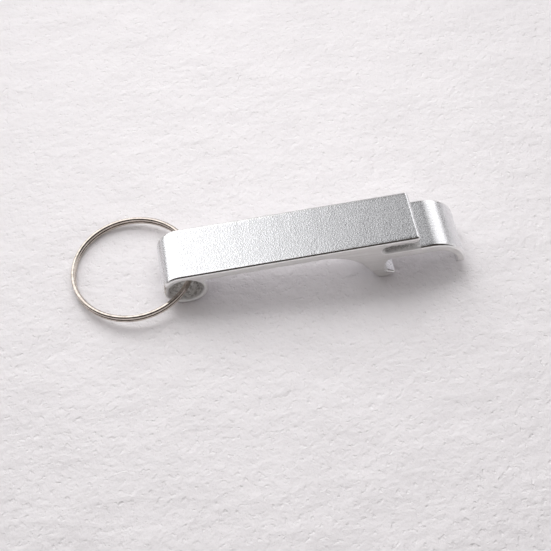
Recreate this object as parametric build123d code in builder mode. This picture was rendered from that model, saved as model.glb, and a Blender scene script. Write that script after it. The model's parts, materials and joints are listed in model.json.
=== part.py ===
"""Keychain bottle opener: one slice of extruded aluminium with a steel split ring in its key loop.

Units are millimetres, +Z is up, and the opener lies on a table at z = 0, resting on its loop and its claw.
The bar runs along +X, and the origin is on the table, under the middle of the whole object.
"""
from build123d import *
from math import asin, atan2, cos, degrees, hypot, radians, sin, tan
import os

# ---- Opener body: outline lengths, with x from the loop end and y down from the top face ----
body_width = 11.0
edge_round = 0.4

loop_outer_radius = 4.4
loop_hole_radius = 3.35
loop_centre_depth = 4.65
nose_round = 3.9

bar_thickness = 2.1
bar_loop_fillet = 0.5

arm_length = 49.2
arm_thickness = 1.45
arm_top_round = 0.7
arm_under_round = 0.45

slot_height = 2.05
slot_end_x = 42.05

tongue_thickness = 2.25
tongue_bend_x = 51.5
tongue_outer_radius = 7.3
tongue_outer_turn = 85.0
tongue_inner_bend_x = 52.0
tongue_tip_round = 0.55

cove_radius = 10.0
claw_slope = 60.0
heel_radius = 2.1
heel_x = 42.7
heel_depth = 9.8
toe_x = 45.35
toe_depth = 10.75
toe_rise = 27.0
toe_round = 0.45

mouth_x = 42.9
mouth_round = 1.3
mouth_floor_depth = 9.4
mouth_floor_round = 0.4

# ---- Split ring: one wire wound twice, with a step between the two coils ----
ring_outer_radius = 12.0
wire_width = 0.85
wire_height = 0.72
wire_corner = 0.33
coil_gap = 0.06
step_start = 17.0
step_end = 35.0
step_sections = 9
wire_end_gap = 1.2
ring_side_shift = 2.8
ring_reach_past_axis = 2.0
ring_tilt = 4.8
ring_lean = 2.8

# ---- Resting attitude of the body: loop and heel both touch the table ----
loop_x = loop_outer_radius
reach = heel_x - loop_x
drop = heel_depth - loop_centre_depth
centres_angle = atan2(drop, reach)
tangent_angle = asin((loop_outer_radius - heel_radius) / hypot(reach, drop))
rest_tilt = degrees(centres_angle - tangent_angle)
tilt_cos = cos(radians(rest_tilt))
tilt_sin = sin(radians(rest_tilt))


def turned(x, y):
    """A length along the bar and a height above the top face, as a horizontal and a vertical length."""
    return x * tilt_cos - y * tilt_sin, x * tilt_sin + y * tilt_cos


# ---- Resting attitude of the ring: one side on the table, the other raised inside the loop ----
ring_height = 2 * wire_height + coil_gap
ring_mid_radius = ring_outer_radius - wire_width / 2
ring_x_dir = (cos(radians(ring_tilt)), 0, sin(radians(ring_tilt)))
ring_z_dir = (
    -sin(radians(ring_tilt)) * cos(radians(ring_lean)),
    sin(radians(ring_lean)),
    cos(radians(ring_tilt)) * cos(radians(ring_lean)),
)
ring_slope_cos = ring_z_dir[2]
ring_slope_sin = (1 - ring_slope_cos**2) ** 0.5
ring_centre_z = (
    wire_corner
    + (ring_outer_radius - wire_corner) * ring_slope_sin
    + (ring_height / 2 - wire_corner) * ring_slope_cos
)

# ---- Where the pieces stand: the origin is under the middle of the whole ----
slot_floor_depth = arm_thickness + slot_height
loop_from_start, loop_above_start = turned(loop_x, -loop_centre_depth)
tip_reach = tongue_outer_radius - tongue_tip_round
tip_centre = (
    tongue_bend_x + tip_reach * sin(radians(tongue_outer_turn)),
    -slot_floor_depth - tongue_outer_radius + tip_reach * cos(radians(tongue_outer_turn)),
)
tongue_end_from_start = turned(*tip_centre)[0] + tongue_tip_round
ring_centre_from_loop = ring_reach_past_axis - ring_mid_radius * ring_x_dir[0]
ring_end_from_start = loop_from_start + ring_centre_from_loop - ring_outer_radius
start_x = -(ring_end_from_start + tongue_end_from_start) / 2
start_z = loop_outer_radius - loop_above_start
loop_axis_x = start_x + loop_from_start
ring_centre = (loop_axis_x + ring_centre_from_loop, 0, ring_centre_z)

body_start = (start_x, -ring_side_shift, start_z)
body_side = Plane(origin=body_start, x_dir=(tilt_cos, 0, tilt_sin), z_dir=(0, -1, 0))
ring_level = Plane(origin=ring_centre, x_dir=ring_x_dir, z_dir=ring_z_dir)


def body_outline():
    """The extrusion's outer outline, clockwise from the loop's left side."""
    slot_floor = -slot_floor_depth
    tongue_under = slot_floor - tongue_thickness
    bar_under = -bar_thickness
    loop_reach = (loop_outer_radius**2 - (loop_centre_depth - bar_thickness) ** 2) ** 0.5

    nose = Line((0, -loop_centre_depth), (0, -nose_round))
    nose_arc = JernArc(nose @ 1, (0, 1), nose_round, -90)
    top = Line(nose_arc @ 1, (arm_length - arm_top_round, 0))
    arm_top_arc = JernArc(top @ 1, (1, 0), arm_top_round, -90)
    arm_end = Line(arm_top_arc @ 1, (arm_length, -arm_thickness + arm_under_round))
    arm_under_arc = JernArc(arm_end @ 1, (0, -1), arm_under_round, -90)
    slot_roof = Line(arm_under_arc @ 1, (slot_end_x + slot_height / 2, -arm_thickness))
    slot_end = JernArc(slot_roof @ 1, (-1, 0), slot_height / 2, 180)
    tongue_top = Line(slot_end @ 1, (tongue_bend_x, slot_floor))

    tongue_outer = JernArc(tongue_top @ 1, (1, 0), tongue_outer_radius, -tongue_outer_turn)
    tip_turn = 180 - tongue_outer_turn
    tip_arc = JernArc(tongue_outer @ 1, tongue_outer % 1, tongue_tip_round, -tip_turn)
    inner_radius = tongue_under - (tip_arc @ 1).Y
    inner_end = (tongue_inner_bend_x + inner_radius, (tip_arc @ 1).Y)
    tip_flat = Line(tip_arc @ 1, inner_end)
    tongue_inner = JernArc(tip_flat @ 1, (0, 1), inner_radius, 90)

    tongue_base = Line(tongue_inner @ 1, (mouth_x + mouth_round, tongue_under))
    mouth_arc = JernArc(tongue_base @ 1, (-1, 0), mouth_round, 90)
    mouth_wall = Line(mouth_arc @ 1, (mouth_x, -mouth_floor_depth))
    toe_top = Line(mouth_wall @ 1, (toe_x, -toe_depth))
    toe_lean = radians(toe_rise)
    back_lean = radians(claw_slope)
    heel_right = (heel_x + heel_radius * sin(toe_lean), -heel_depth - heel_radius * cos(toe_lean))
    heel_left = (heel_x - heel_radius * sin(back_lean), -heel_depth - heel_radius * cos(back_lean))
    Line(toe_top @ 1, heel_right)
    heel = ThreePointArc(heel_right, (heel_x, -heel_depth - heel_radius), heel_left)
    cove_end_y = bar_under - cove_radius * (1 - cos(back_lean))
    cove_end_x = heel_left[0] - (cove_end_y - heel_left[1]) / tan(back_lean)
    claw_back = Line(heel @ 1, (cove_end_x, cove_end_y))
    cove = JernArc(claw_back @ 1, claw_back % 1, cove_radius, claw_slope)
    bar_base = Line(cove @ 1, (loop_x + loop_reach, bar_under))
    loop_bottom = (loop_x, -loop_centre_depth - loop_outer_radius)
    ThreePointArc(bar_base @ 1, loop_bottom, (0, -loop_centre_depth))


# ---- Opener body: the extrusion's outline, the round key hole, and tumbled edges ----
rounded_corners = (
    ((loop_x + loop_outer_radius, -bar_thickness), bar_loop_fillet),
    ((toe_x, -toe_depth), toe_round),
    ((mouth_x, -mouth_floor_depth), mouth_floor_round),
)
with BuildPart() as opener_body:
    with BuildSketch(body_side) as profile:
        with BuildLine():
            body_outline()
        make_face()
        for corner, corner_round in rounded_corners:
            fillet(profile.vertices().sort_by_distance(corner)[0], corner_round)
        with Locations((loop_x, -loop_centre_depth)):
            Circle(loop_hole_radius, mode=Mode.SUBTRACT)
    extrude(amount=body_width / 2)
    fillet(opener_body.faces().sort_by(Axis.Y)[0].edges(), edge_round)
    mirror(about=body_side)
opener_body.part.label = "opener_body"


def wire_section(angle, height):
    """The wire's section, standing at an angle round the ring and at a height above its middle."""
    place = ring_level * Rot(0, 0, angle) * Pos(ring_mid_radius, 0, height) * Rot(90, 0, 0)
    with BuildSketch(Plane(place)) as section:
        RectangleRounded(wire_width, wire_height, wire_corner)
    return section.sketch


def coil(first_angle, last_angle, height):
    """One level coil of the wire, from one angle to another."""
    turn = last_angle - first_angle
    revolve(wire_section(first_angle, height), Axis(ring_level.origin, ring_level.z_dir), turn)


# ---- Split ring: the lower coil, the step up, and the upper coil, as one wire ----
coil_height = (wire_height + coil_gap) / 2
with BuildPart() as split_ring:
    coil(step_end + wire_end_gap, step_start + 360, -coil_height)
    coil(step_end, step_start + 360 - wire_end_gap, coil_height)
    for section_index in range(step_sections):
        share = section_index / (step_sections - 1)
        rise = -cos(radians(180 * share)) * coil_height
        add(wire_section(step_start + share * (step_end - step_start), rise))
    loft()
split_ring.part.label = "split_ring"

os.makedirs("parts", exist_ok=True)
for piece in (opener_body, split_ring):
    export_step(piece.part, f"parts/{piece.part.label}.step")
    box = piece.part.bounding_box()
    print(piece.part.label, "from", box.min, "to", box.max, "volume", round(piece.part.volume, 1))
print("bar tilt", round(rest_tilt, 3), "ring tilt", round(ring_tilt, 3))
print("ring axis", round(loop_axis_x, 3), -ring_side_shift, loop_outer_radius)
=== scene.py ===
"""Looks of the keychain bottle opener: a tumbled aluminium extrusion slice and a nickel-plated split ring.

The object's lengths are millimetres until mm() turns them into Blender's metres. On the bar, x runs from
the loop end and depths go down from the top face, as the opener lies level. turned() then tips it to rest.
"""

import json
from collections import namedtuple
from math import asin, atan2, cos, degrees, hypot, pi, radians, sin, tan

import bmesh
import bpy
from mathutils import Matrix, Vector, noise


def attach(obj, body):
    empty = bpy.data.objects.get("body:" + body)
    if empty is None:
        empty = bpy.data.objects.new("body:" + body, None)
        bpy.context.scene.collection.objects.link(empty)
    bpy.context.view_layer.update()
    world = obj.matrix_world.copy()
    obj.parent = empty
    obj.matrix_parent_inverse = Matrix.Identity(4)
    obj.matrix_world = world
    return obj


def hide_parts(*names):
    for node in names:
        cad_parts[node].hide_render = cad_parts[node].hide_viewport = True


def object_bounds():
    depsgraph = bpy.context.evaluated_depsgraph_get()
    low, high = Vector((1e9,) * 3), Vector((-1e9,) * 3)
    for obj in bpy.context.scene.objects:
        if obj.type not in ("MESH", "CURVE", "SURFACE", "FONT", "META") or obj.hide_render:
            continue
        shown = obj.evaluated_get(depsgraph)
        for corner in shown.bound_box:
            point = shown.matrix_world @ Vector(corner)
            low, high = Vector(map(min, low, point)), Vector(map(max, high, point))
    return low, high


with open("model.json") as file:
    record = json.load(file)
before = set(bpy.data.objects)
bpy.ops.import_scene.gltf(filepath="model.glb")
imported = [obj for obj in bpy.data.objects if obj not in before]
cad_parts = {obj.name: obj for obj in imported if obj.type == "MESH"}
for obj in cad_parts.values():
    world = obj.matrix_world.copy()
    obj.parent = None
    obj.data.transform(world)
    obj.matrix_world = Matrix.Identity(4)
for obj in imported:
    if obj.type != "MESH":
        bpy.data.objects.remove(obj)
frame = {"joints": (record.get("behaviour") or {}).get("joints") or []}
cad_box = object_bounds()


def mm(length):
    """A length or a place in millimetres, as metres."""
    return length / 1000


# ---- Opener body: the extrusion's outline ----
body_width = 11.0
edge_round = 0.4
loop_outer_radius = 4.4
loop_hole_radius = 3.35
loop_centre_depth = 4.65
nose_round = 3.9
bar_thickness = 2.1
bar_loop_fillet = 0.5
arm_length = 49.2
arm_thickness = 1.45
arm_top_round = 0.7
arm_under_round = 0.45
slot_height = 2.05
slot_end_x = 42.05
tongue_thickness = 2.25
tongue_bend_x = 51.5
tongue_outer_radius = 7.3
tongue_outer_turn = 85.0
tongue_inner_bend_x = 52.0
tongue_tip_round = 0.55
cove_radius = 10.0
claw_slope = 60.0
heel_radius = 2.1
heel_x = 42.7
heel_depth = 9.8
toe_x = 45.35
toe_depth = 10.75
toe_rise = 27.0
toe_round = 0.45
mouth_x = 42.9
mouth_round = 1.3
mouth_floor_depth = 9.4
mouth_floor_round = 0.4

# ---- Split ring ----
ring_outer_radius = 12.0
wire_width = 0.85
wire_height = 0.72
wire_corner = 0.33
coil_gap = 0.06
step_start = 17.0
step_end = 35.0
wire_end_gap = 1.2
ring_tilt = 4.8
ring_lean = 2.8

# ---- Resting attitude: the loop and the heel both touch the table ----
reach = heel_x - loop_outer_radius
drop = heel_depth - loop_centre_depth
rest_tilt = atan2(drop, reach) - asin((loop_outer_radius - heel_radius) / hypot(reach, drop))
loop_axis = Vector(frame["joints"][0]["pos_m"]) * 1000


def turned(x, y, side):
    """A point of the level opener, at a distance to the side of its middle, as a point on the table."""
    from_loop_x = x - loop_outer_radius
    from_loop_y = y + loop_centre_depth
    return Vector((
        loop_axis.x + from_loop_x * cos(rest_tilt) - from_loop_y * sin(rest_tilt),
        loop_axis.y + side,
        loop_axis.z + from_loop_x * sin(rest_tilt) + from_loop_y * cos(rest_tilt),
    ))


# ---- Outline made of straight runs and arcs ----
arc_step = radians(3.0)
run_step = 0.4
Spot = namedtuple("Spot", "x y normal_x normal_y shelter brushed bluntness")


class Outline:
    """A chain of outline points, drawn like a pen that moves and turns.

    Each point has its place, its outward normal, and three shares from 0 to 1: how sheltered it was from the
    tumbling stones, how brushed it is, and how blunt its corners at the sides are.
    """

    def __init__(self, x, y, heading):
        self.x = x
        self.y = y
        self.heading = radians(heading)
        self.shelter = 0.0
        self.brushed = 0.0
        self.bluntness = 0.0
        self.points = []
        self.mark()

    def mark(self):
        """Keeps the pen's place, with the normal on its left."""
        normal = (-sin(self.heading), cos(self.heading))
        finish = (self.shelter, self.brushed, self.bluntness)
        self.points.append(Spot(self.x, self.y, *normal, *finish))

    def run(self, length):
        """A straight run, in short steps."""
        steps = max(1, round(length / run_step))
        for _ in range(steps):
            self.x += cos(self.heading) * length / steps
            self.y += sin(self.heading) * length / steps
            self.mark()

    def run_to(self, x, y):
        """A straight run to a point."""
        self.heading = atan2(y - self.y, x - self.x)
        self.run(hypot(x - self.x, y - self.y))

    def arc(self, radius, turn):
        """An arc that turns left by so many degrees, or right if they are negative."""
        turn = radians(turn)
        steps = max(3, round(abs(turn) / arc_step))
        chord = 2 * radius * sin(abs(turn) / steps / 2)
        for _ in range(steps):
            self.heading += turn / steps / 2
            self.x += cos(self.heading) * chord
            self.y += sin(self.heading) * chord
            self.heading += turn / steps / 2
            self.mark()


def corner_trim(radius, turn):
    """How far from a corner its round begins."""
    return radius * abs(tan(radians(turn) / 2))


def body_outline():
    """The opener's outer outline, clockwise from the left of its loop."""
    slot_floor = -(arm_thickness + slot_height)
    tongue_under = slot_floor - tongue_thickness
    pen = Outline(0, -loop_centre_depth, 90)
    pen.run(loop_centre_depth - nose_round)
    pen.bluntness = 1.0
    pen.arc(nose_round, -90)
    pen.bluntness = 0.0
    pen.run(arm_length - arm_top_round - nose_round)
    pen.bluntness = 1.0
    pen.arc(arm_top_round, -90)
    pen.run(arm_thickness - arm_top_round - arm_under_round)
    pen.arc(arm_under_round, -90)
    pen.bluntness = 0.0
    pen.shelter = 0.9
    pen.run(pen.x - slot_end_x - slot_height / 2)
    pen.arc(slot_height / 2, 180)
    pen.run(arm_length - pen.x)
    pen.shelter = 0.0
    pen.run(tongue_bend_x - pen.x)
    pen.brushed = 1.0
    pen.arc(tongue_outer_radius, -tongue_outer_turn)
    pen.arc(tongue_tip_round, -(180 - tongue_outer_turn))
    pen.brushed = 0.0
    inner_radius = tongue_under - pen.y
    pen.run(pen.x - tongue_inner_bend_x - inner_radius)
    pen.heading = radians(90)
    pen.arc(inner_radius, 90)
    pen.run(pen.x - mouth_x - mouth_round)
    pen.shelter = 0.7
    pen.arc(mouth_round, 90)
    toe_heading = degrees(atan2(mouth_floor_depth - toe_depth, toe_x - mouth_x))
    floor_turn = toe_heading + 90
    floor_trim = corner_trim(mouth_floor_round, floor_turn)
    pen.run(pen.y + mouth_floor_depth - floor_trim)
    pen.arc(mouth_floor_round, floor_turn)
    under_heading = toe_rise - 180
    toe_turn = under_heading - toe_heading
    toe_trim = corner_trim(toe_round, toe_turn)
    pen.shelter = 0.0
    pen.run(hypot(toe_x - mouth_x, toe_depth - mouth_floor_depth) - floor_trim - toe_trim)
    pen.arc(toe_round, toe_turn)
    heel_right_x = heel_x + heel_radius * sin(radians(toe_rise))
    heel_right_y = -heel_depth - heel_radius * cos(radians(toe_rise))
    pen.run_to(heel_right_x, heel_right_y)
    pen.heading = radians(under_heading)
    pen.arc(heel_radius, -(claw_slope + toe_rise))
    cove_end_y = -bar_thickness - cove_radius * (1 - cos(radians(claw_slope)))
    pen.run((cove_end_y - pen.y) / sin(radians(claw_slope)))
    pen.arc(cove_radius, claw_slope)
    pen.heading = pi
    loop_drop = loop_centre_depth - bar_thickness
    fillet_reach = ((loop_outer_radius + bar_loop_fillet) ** 2 - (loop_drop - bar_loop_fillet) ** 2) ** 0.5
    fillet_turn = 90 + degrees(atan2(loop_drop - bar_loop_fillet, fillet_reach))
    pen.run(pen.x - loop_outer_radius - fillet_reach)
    pen.arc(bar_loop_fillet, fillet_turn)
    pen.arc(loop_outer_radius, -(fillet_turn + 90))
    return pen.points[:-1]


def hole_outline():
    """The round key hole, counter-clockwise, so that its normals point into the hole."""
    pen = Outline(loop_outer_radius + loop_hole_radius, -loop_centre_depth, 90)
    pen.shelter = 1.0
    pen.arc(loop_hole_radius, 360)
    return pen.points[1:]


# ---- Meshes ----
def vertex_vectors(mesh, name, vectors):
    """Stores one vector for each vertex, which the materials read by name."""
    attribute = mesh.attributes.new(name, "FLOAT_VECTOR", "POINT")
    attribute.data.foreach_set("vector", [number for vector in vectors for number in vector])


def finished_piece(bm, name, materials):
    """The bmesh as a smooth-shaded object whose flat faces stay flat next to its rounded edges."""
    bmesh.ops.recalc_face_normals(bm, faces=bm.faces)
    mesh = bpy.data.meshes.new(name)
    bm.to_mesh(mesh)
    bm.free()
    mesh.shade_smooth()
    for material in materials:
        mesh.materials.append(material)
    piece = bpy.data.objects.new(name, mesh)
    bpy.context.scene.collection.objects.link(piece)
    normals = piece.modifiers.new("flat faces stay flat", "WEIGHTED_NORMAL")
    normals.keep_sharp = False
    return piece


def bridge(bm, row, next_row):
    """Quads between two closed rows of vertices."""
    count = len(row)
    return [bm.faces.new((row[i], row[(i + 1) % count], next_row[(i + 1) % count], next_row[i]))
            for i in range(count)]


# ---- Opener body: the outline carried across the width, with tumbled edges ----
edge_steps = 6
rows_across = 22
wave_height = 0.008
wave_length = 2.6
ding_height = 0.045
ding_length = 1.3
ding_threshold = 0.1
ding_shift = Vector((7, 3, 5))
near_corner_extra = 0.15
far_corner_extra = 0.65


def corner_rounds(spot):
    """How round the near and the far side edges are at a spot: blunter where two tumbled edges meet."""
    blunt = spot.bluntness * abs(spot.normal_x)
    return edge_round + near_corner_extra * blunt, edge_round + far_corner_extra * blunt


def cross_section(spot):
    """Each row's inset from the outline, its distance to the side and how much it belongs to the edge."""
    near_round, far_round = corner_rounds(spot)
    near_flat = near_round - body_width / 2
    far_flat = body_width / 2 - far_round
    angles = [pi / 2 * step / edge_steps for step in range(edge_steps + 1)]
    near_edge = []
    far_edge = []
    for angle in angles:
        wear = cos(angle / 2)
        near_edge.append((near_round * (1 - sin(angle)), near_flat - near_round * cos(angle), wear))
        far_edge.append((far_round * (1 - sin(angle)), far_flat + far_round * cos(angle), wear))
    shares = [row / rows_across for row in range(1, rows_across)]
    middle = [(0.0, near_flat + (far_flat - near_flat) * share, 0.0) for share in shares]
    return near_edge + middle + far_edge[::-1]


def worn_point(spot, inset, side, wear):
    """A surface point with the faint waviness of an extrusion and, on the edges, the dings of tumbling."""
    start = Vector((spot.x, spot.y, side))
    wave = wave_height * noise.noise(start / wave_length)
    knock = noise.noise(start / ding_length + ding_shift)
    ding = ding_height * wear * max(0.0, knock - ding_threshold)
    depth = inset + ding - wave
    return turned(spot.x - spot.normal_x * depth, spot.y - spot.normal_y * depth, side)


def body_rows(bm, outline):
    """The rows of vertices of one closed outline, with what the materials read at each vertex."""
    sections = [cross_section(spot) for spot in outline]
    lengths = [0.0]
    for spot, next_spot in zip(outline, outline[1:]):
        lengths.append(lengths[-1] + hypot(next_spot.x - spot.x, next_spot.y - spot.y))
    rows = []
    skin = []
    finish = []
    for index in range(len(sections[0])):
        row = []
        for spot, section, length in zip(outline, sections, lengths):
            inset, side, wear = section[index]
            row.append(bm.verts.new(mm(worn_point(spot, inset, side, wear))))
            skin.append((length, side, 0.0))
            finish.append((wear, spot.shelter, spot.brushed))
        rows.append(row)
    return rows, skin, finish


def make_body(tumbled, sawn):
    """The opener body: outer skin, key hole wall and the two sawn side faces between them."""
    bm = bmesh.new()
    outer_rows, outer_skin, outer_finish = body_rows(bm, body_outline())
    hole_rows, hole_skin, hole_finish = body_rows(bm, hole_outline())
    for rows in (outer_rows, hole_rows):
        for row, next_row in zip(rows, rows[1:]):
            bridge(bm, row, next_row)
    for index in (0, -1):
        border = []
        for row in (outer_rows[index], hole_rows[index]):
            border += [bm.edges.get((row[i - 1], row[i])) for i in range(len(row))]
        filled = bmesh.ops.triangle_fill(bm, use_beauty=True, use_dissolve=False, edges=border)
        for face in filled["geom"]:
            if isinstance(face, bmesh.types.BMFace):
                face.material_index = 1
    piece = finished_piece(bm, "opener_slice", (tumbled, sawn))
    vertex_vectors(piece.data, "skin", outer_skin + hole_skin)
    vertex_vectors(piece.data, "finish", outer_finish + hole_finish)
    return piece


# ---- Split ring: one wire wound twice ----
ring_height = 2 * wire_height + coil_gap
ring_mid_radius = ring_outer_radius - wire_width / 2
coil_height = (wire_height + coil_gap) / 2
ring_x_dir = Vector((cos(radians(ring_tilt)), 0, sin(radians(ring_tilt))))
ring_z_dir = Vector((
    -sin(radians(ring_tilt)) * cos(radians(ring_lean)),
    sin(radians(ring_lean)),
    cos(radians(ring_tilt)) * cos(radians(ring_lean)),
))
ring_y_dir = ring_z_dir.cross(ring_x_dir)
ring_slope_sin = (1 - ring_z_dir.z**2) ** 0.5
ring_reach_past_axis = 2.0
ring_centre = Vector((
    loop_axis.x + ring_reach_past_axis - ring_mid_radius * ring_x_dir.x,
    0,
    wire_corner
    + (ring_outer_radius - wire_corner) * ring_slope_sin
    + (ring_height / 2 - wire_corner) * ring_z_dir.z,
))
wire_turn_step = 1.2
corner_steps = 5
end_round = 0.12
end_bevel_share = 0.3
least_corner = 0.02


def wire_section(shrink):
    """The wire's rounded rectangular section, as offsets outward and upward, drawn in by so much."""
    corner = max(wire_corner - shrink, least_corner)
    half_width = wire_width / 2 - shrink - corner
    half_height = wire_height / 2 - shrink - corner
    points = []
    for quarter, (side_x, side_y) in enumerate(((1, 1), (-1, 1), (-1, -1), (1, -1))):
        for step in range(corner_steps + 1):
            angle = pi / 2 * (quarter + step / corner_steps)
            out = side_x * half_width + corner * cos(angle)
            up = side_y * half_height + corner * sin(angle)
            points.append((out, up))
    return points


def wire_height_at(turn):
    """How high the wire runs above the ring's middle, after so many degrees from the step's start."""
    share = min(max((turn - 360) / (step_end - step_start), 0), 1)
    return -cos(pi * share) * coil_height


def wire_stations():
    """The turn in degrees from the step's start, and the shrink, of each section along the wire."""
    first = step_end - step_start + wire_end_gap
    last = 720 - wire_end_gap
    end_turn = degrees(end_round / ring_mid_radius)
    bevel_turn = end_turn * end_bevel_share
    bevel = end_round * end_bevel_share
    full_turn = last - first - 2 * end_turn
    stations = [(first, end_round), (first + bevel_turn, bevel), (first + end_turn, 0.0)]
    steps = round(full_turn / wire_turn_step)
    for step in range(1, steps):
        stations.append((first + end_turn + full_turn * step / steps, 0.0))
    return stations + [(last - end_turn, 0.0), (last - bevel_turn, bevel), (last, end_round)]


def make_ring(nickel):
    """The split ring: the lower coil, the step up and the upper coil as one wire with two cut ends."""
    bm = bmesh.new()
    rows = []
    wire = []
    for turn, shrink in wire_stations():
        angle = radians(step_start + turn)
        outward = ring_x_dir * cos(angle) + ring_y_dir * sin(angle)
        middle = ring_centre + outward * ring_mid_radius + ring_z_dir * wire_height_at(turn)
        row = []
        for out, up in wire_section(shrink):
            row.append(bm.verts.new(mm(middle + outward * out + ring_z_dir * up)))
            wire.append((radians(turn) * ring_mid_radius, out, up))
        rows.append(row)
    for row, next_row in zip(rows, rows[1:]):
        bridge(bm, row, next_row)
    bm.faces.new(rows[0])
    bm.faces.new(rows[-1])
    piece = finished_piece(bm, "wound_ring", (nickel,))
    vertex_vectors(piece.data, "wire", wire)
    return piece


# ---- Materials ----
def add(tree, kind, inputs=None, **settings):
    """A node, with its settings, and its inputs given as values or as sockets to link."""
    made = tree.nodes.new(kind)
    for setting, value in settings.items():
        setattr(made, setting, value)
    for socket, value in (inputs or {}).items():
        if isinstance(value, bpy.types.NodeSocket):
            tree.links.new(value, made.inputs[socket])
        else:
            made.inputs[socket].default_value = value
    return made


def surface(name):
    """A material, its node tree and its shader."""
    material = bpy.data.materials.new(name)
    material.use_nodes = True
    return material, material.node_tree, material.node_tree.nodes["Principled BSDF"]


def object_mm(tree, scale=(1, 1, 1)):
    """Object coordinates in millimetres, stretched by a scale."""
    place = add(tree, "ShaderNodeTexCoord")
    return add(tree, "ShaderNodeMapping", {
        "Vector": place.outputs["Object"],
        "Scale": [1000 * share for share in scale],
    }).outputs[0]


def named_vector(tree, name, scale):
    """A vector stored on the mesh, stretched by a scale."""
    stored = add(tree, "ShaderNodeAttribute", attribute_name=name)
    return add(tree, "ShaderNodeMapping", {"Vector": stored.outputs["Vector"], "Scale": scale}).outputs[0]


def cloud(tree, place, scale, detail=2.0, roughness=0.5):
    """Noise from 0 to 1, with its features about one over scale across."""
    return add(tree, "ShaderNodeTexNoise", {
        "Vector": place,
        "Scale": scale,
        "Detail": detail,
        "Roughness": roughness,
    }).outputs["Fac"]


def mapped(tree, value, low, high, new_low, new_high):
    """A value carried from one range to another, and held at its ends."""
    return add(tree, "ShaderNodeMapRange", {
        "Value": value,
        "From Min": low,
        "From Max": high,
        "To Min": new_low,
        "To Max": new_high,
    }).outputs[0]


def ramp(tree, value, zero_at, one_at):
    """A value as a share from 0 to 1 between two places, which may run downward."""
    return mapped(tree, value, zero_at, one_at, 0.0, 1.0)


def combined(tree, operation, first, second):
    """Two values combined by one operation, such as a sum."""
    return add(tree, "ShaderNodeMath", {0: first, 1: second}, operation=operation).outputs[0]


def product(tree, first, second):
    """Two values or shares multiplied."""
    return combined(tree, "MULTIPLY", first, second)


def mixed_colour(tree, share, first, second):
    """One colour turning into another as share goes from 0 to 1."""
    mix = tree.nodes.new("ShaderNodeMix")
    mix.data_type = "RGBA"
    tree.links.new(share, mix.inputs[0])
    for socket, colour in ((mix.inputs[6], first), (mix.inputs[7], second)):
        if isinstance(colour, bpy.types.NodeSocket):
            tree.links.new(colour, socket)
        else:
            socket.default_value = (*colour, 1)
    return mix.outputs[2]


def relief(tree, height, depth, under=None):
    """Bump of a height from 0 to 1 that is so many metres deep, on top of another bump."""
    inputs = {"Height": height, "Distance": depth}
    if under is not None:
        inputs["Normal"] = under
    return add(tree, "ShaderNodeBump", inputs).outputs[0]


def tumbled_aluminium():
    """The extrusion's skin after tumbling: pitted, smooth at its edges and dull where it is sheltered."""
    material, tree, shader = surface("tumbled_aluminium")
    place = object_mm(tree)
    grain = cloud(tree, place, 3.9, 2.0, 0.6)
    fine_grain = cloud(tree, place, 9.0, 2.0)
    patches = cloud(tree, place, 1.7, 3.0, 0.65)
    streaks = cloud(tree, named_vector(tree, "skin", (0.30, 5.5, 1.0)), 1.0, 3.0)
    finish = add(tree, "ShaderNodeAttribute", attribute_name="finish").outputs["Vector"]
    wear, shelter, brushed = add(tree, "ShaderNodeSeparateXYZ", {0: finish}).outputs
    tint = mixed_colour(tree, ramp(tree, grain, 0.42, 0.60), (0.76, 0.76, 0.78), (0.88, 0.88, 0.895))
    dull = mixed_colour(tree, ramp(tree, patches, 0.40, 0.58), (0.50, 0.49, 0.48), (0.94, 0.93, 0.92))
    tint = mixed_colour(tree, shelter, tint, dull)
    tree.links.new(mixed_colour(tree, wear, tint, (0.88, 0.875, 0.87)), shader.inputs["Base Color"])
    rough = mapped(tree, grain, 0.35, 0.65, 0.30, 0.20)
    rough = combined(tree, "ADD", rough, product(tree, shelter, 0.22))
    rough = combined(tree, "SUBTRACT", rough, product(tree, wear, 0.10))
    tree.links.new(rough, shader.inputs["Roughness"])
    grain_bump = relief(tree, grain, 3.4e-5)
    smoothed = combined(tree, "MAXIMUM", product(tree, wear, 0.75), product(tree, brushed, 0.7))
    tree.links.new(combined(tree, "SUBTRACT", 1.0, smoothed), grain_bump.node.inputs["Strength"])
    streak_bump = relief(tree, streaks, 3.4e-5, relief(tree, fine_grain, 4e-6, grain_bump))
    tree.links.new(mapped(tree, brushed, 0.0, 1.0, 0.1, 1.0), streak_bump.node.inputs["Strength"])
    tree.links.new(streak_bump, shader.inputs["Normal"])
    tree.links.new(mapped(tree, shelter, 0.0, 1.0, 1.0, 0.30), shader.inputs["Metallic"])
    return material


def sawn_aluminium():
    """The cut side faces: matte, with faint saw lines across the bar and a few scuffs."""
    material, tree, shader = surface("sawn_aluminium")
    grain = cloud(tree, object_mm(tree), 5.0, 3.0, 0.6)
    saw_lines = cloud(tree, object_mm(tree, (0.12, 1.0, 5.0)), 1.0, 2.0)
    scuffs = cloud(tree, object_mm(tree), 0.5, 3.0, 0.7)
    tint = mixed_colour(tree, ramp(tree, saw_lines, 0.3, 0.7), (0.74, 0.725, 0.715), (0.83, 0.82, 0.81))
    tint = mixed_colour(tree, mapped(tree, scuffs, 0.55, 0.75, 0.0, 0.35), tint, (0.9, 0.9, 0.9))
    tree.links.new(tint, shader.inputs["Base Color"])
    tree.links.new(mapped(tree, grain, 0.3, 0.7, 0.56, 0.42), shader.inputs["Roughness"])
    bumps = relief(tree, saw_lines, 6e-6)
    tree.links.new(relief(tree, grain, 5e-6, bumps), shader.inputs["Normal"])
    shader.inputs["Metallic"].default_value = 1.0
    return material


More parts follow.
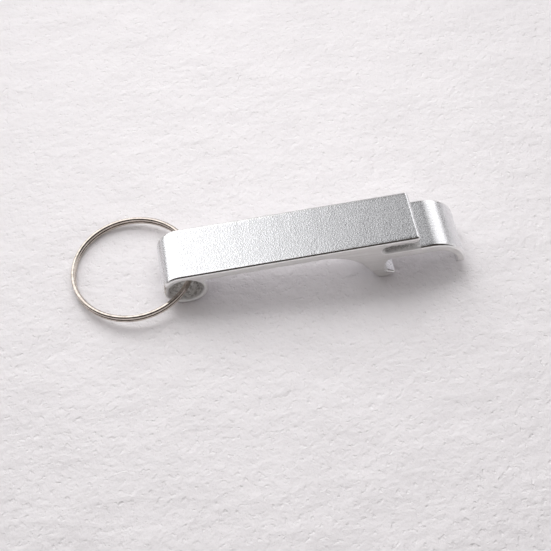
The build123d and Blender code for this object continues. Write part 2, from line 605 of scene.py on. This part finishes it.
def polished_nickel():
    """The ring's plating: warm and bright, with drawn lines along the wire and dull spots."""
    material, tree, shader = surface("polished_nickel")
    drawn = cloud(tree, named_vector(tree, "wire", (0.12, 14.0, 14.0)), 1.0, 3.0)
    spots = cloud(tree, object_mm(tree), 1.2, 3.0, 0.6)
    tint = mixed_colour(tree, ramp(tree, spots, 0.4, 0.7), (0.67, 0.605, 0.55), (0.50, 0.445, 0.40))
    tree.links.new(tint, shader.inputs["Base Color"])
    tree.links.new(mapped(tree, spots, 0.35, 0.7, 0.06, 0.16), shader.inputs["Roughness"])
    tree.links.new(relief(tree, drawn, 1.5e-6), shader.inputs["Normal"])
    shader.inputs["Metallic"].default_value = 1.0
    return material


def plaster():
    """The floor: off-white trowelled plaster with fine pits."""
    material, tree, shader = surface("pale_plaster")
    place = object_mm(tree)
    trowel = cloud(tree, object_mm(tree, (0.6, 1.0, 1.0)), 0.12, 4.0, 0.55)
    lumps = cloud(tree, place, 0.55, 4.0, 0.6)
    pits = ramp(tree, cloud(tree, place, 0.9), 0.30, 0.42)
    tint = mixed_colour(tree, ramp(tree, trowel, 0.3, 0.7), (0.86, 0.83, 0.845), (0.90, 0.87, 0.885))
    tree.links.new(tint, shader.inputs["Base Color"])
    shader.inputs["Roughness"].default_value = 0.75
    shader.inputs["Specular IOR Level"].default_value = 0.3
    bumps = relief(tree, trowel, 6.5e-4)
    bumps = relief(tree, lumps, 2.6e-4, bumps)
    tree.links.new(relief(tree, pits, 7e-5, bumps), shader.inputs["Normal"])
    return material


# ---- The object ----
body = make_body(tumbled_aluminium(), sawn_aluminium())
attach(body, "opener")
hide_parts("opener_body")

ring = make_ring(polished_nickel())
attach(ring, "ring")
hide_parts("split_ring")


# ---- Floor ----
def make_floor(half_side):
    """A flat square floor at the table's height, with half its side in metres."""
    mesh = bpy.data.meshes.new("floor")
    corners = [(x * half_side, y * half_side, 0) for x, y in ((-1, -1), (1, -1), (1, 1), (-1, 1))]
    mesh.from_pydata(corners, [], [(0, 1, 2, 3)])
    mesh.materials.append(plaster())
    floor = bpy.data.objects.new("floor", mesh)
    bpy.context.scene.collection.objects.link(floor)


make_floor(3.0)


# ---- Camera: angles about an aim point, the distance to it and the lens ----
camera_elevation = radians(57.65)
camera_yaw = radians(11.61)
camera_roll = radians(2.48)
camera_distance = mm(190.0)
camera_lens = 65.47
aim_from_centre = Vector((mm(0.5), mm(-7.8), mm(-1.15)))


def make_camera():
    """A camera that looks along +Y turned towards +X, from above."""
    forward = Vector((
        sin(camera_yaw) * cos(camera_elevation),
        cos(camera_yaw) * cos(camera_elevation),
        -sin(camera_elevation),
    ))
    level_right = Vector((cos(camera_yaw), -sin(camera_yaw), 0))
    level_up = level_right.cross(forward)
    right = level_right * cos(camera_roll) + level_up * sin(camera_roll)
    up = right.cross(forward)
    aim = (cad_box[0] + cad_box[1]) / 2 + aim_from_centre
    camera = bpy.data.objects.new("camera", bpy.data.cameras.new("camera"))
    camera.data.lens = camera_lens
    camera.data.clip_start = 0.01
    camera.data.clip_end = 20.0
    axes = Matrix((right, up, -forward)).transposed().to_4x4()
    camera.matrix_world = Matrix.Translation(aim - forward * camera_distance) @ axes
    bpy.context.scene.collection.objects.link(camera)
    bpy.context.scene.camera = camera


make_camera()


# ---- Lamps: a softbox on the right, and two fills that no reflection shows ----
def make_softbox(name, direction, distance, width, height, power, in_reflections=True):
    """A rectangular lamp that faces the object from one direction, in metres and watts."""
    lamp = bpy.data.lights.new(name, "AREA")
    lamp.shape = "RECTANGLE"
    lamp.size = width
    lamp.size_y = height
    lamp.energy = power
    box = bpy.data.objects.new(name, lamp)
    place = Vector(direction).normalized()
    box.location = place * distance
    box.rotation_euler = place.to_track_quat("Z", "Y").to_euler()
    box.visible_glossy = in_reflections
    box.visible_camera = False
    bpy.context.scene.collection.objects.link(box)


make_softbox("right_softbox", (0.58, 0.53, 0.61), 0.60, 0.29, 0.40, 0.34)
make_softbox("back_fill", (-0.15, 0.62, 0.77), 0.34, 0.28, 0.28, 0.41, in_reflections=False)
make_softbox("near_fill", (0.0, 0.10, 1.0), 0.14, 0.15, 0.15, 0.078, in_reflections=False)


# ---- Room: the light that comes from each part of it ----
pale_room = (0.84, 0.83, 0.84)
dim_far_end = (0.36, 0.35, 0.35)
grey_ceiling = (0.44, 0.44, 0.45)
dark_ceiling = (0.02, 0.02, 0.02)
white_wall = (1.75, 1.75, 1.75)
black_skirting = (0.04, 0.04, 0.04)
dark_gap = (0.06, 0.05, 0.05)
brown_front = (0.045, 0.035, 0.03)
grey_backdrop = (0.62, 0.60, 0.61)


def with_patch(tree, colour, patch_colour, shares):
    """A colour that turns into the patch's colour where all the shares are 1."""
    patch, *others = shares
    for share in others:
        patch = product(tree, patch, share)
    return mixed_colour(tree, patch, colour, patch_colour)


def make_room():
    """The room that the metal reflects: white on the left over a dark skirting, and dark brown in front.

    Where the camera sees the room itself, it is a plain pale grey.
    """
    world = bpy.data.worlds.new("room")
    bpy.context.scene.world = world
    world.use_nodes = True
    tree = world.node_tree
    way = add(tree, "ShaderNodeSeparateXYZ", {0: add(tree, "ShaderNodeTexCoord").outputs["Generated"]})
    across, inward, upward = way.outputs
    colour = mixed_colour(tree, ramp(tree, inward, 0.78, 0.92), pale_room, dim_far_end)
    ceiling = mixed_colour(tree, ramp(tree, across, 0.07, 0.13), grey_ceiling, dark_ceiling)
    colour = mixed_colour(tree, ramp(tree, upward, 0.60, 0.72), colour, ceiling)
    colour = with_patch(tree, colour, white_wall, (
        ramp(tree, across, 0.05, -0.09),
        ramp(tree, inward, 0.25, 0.35),
        ramp(tree, upward, 0.16, 0.19),
    ))
    colour = with_patch(tree, colour, black_skirting, (
        ramp(tree, across, -0.45, -0.60),
        ramp(tree, upward, 0.16, 0.14),
    ))
    colour = with_patch(tree, colour, dark_gap, (
        ramp(tree, across, 0.72, 0.76),
        ramp(tree, across, 0.84, 0.80),
        ramp(tree, inward, 0.20, 0.30),
    ))
    colour = with_patch(tree, colour, brown_front, (
        ramp(tree, inward, 0.25, 0.0),
        ramp(tree, upward, 0.18, 0.32),
    ))
    seen_straight = add(tree, "ShaderNodeLightPath").outputs["Is Camera Ray"]
    colour = mixed_colour(tree, seen_straight, colour, grey_backdrop)
    tree.links.new(colour, tree.nodes["Background"].inputs["Color"])


make_room()
bpy.context.scene.view_settings.view_transform = "Standard"
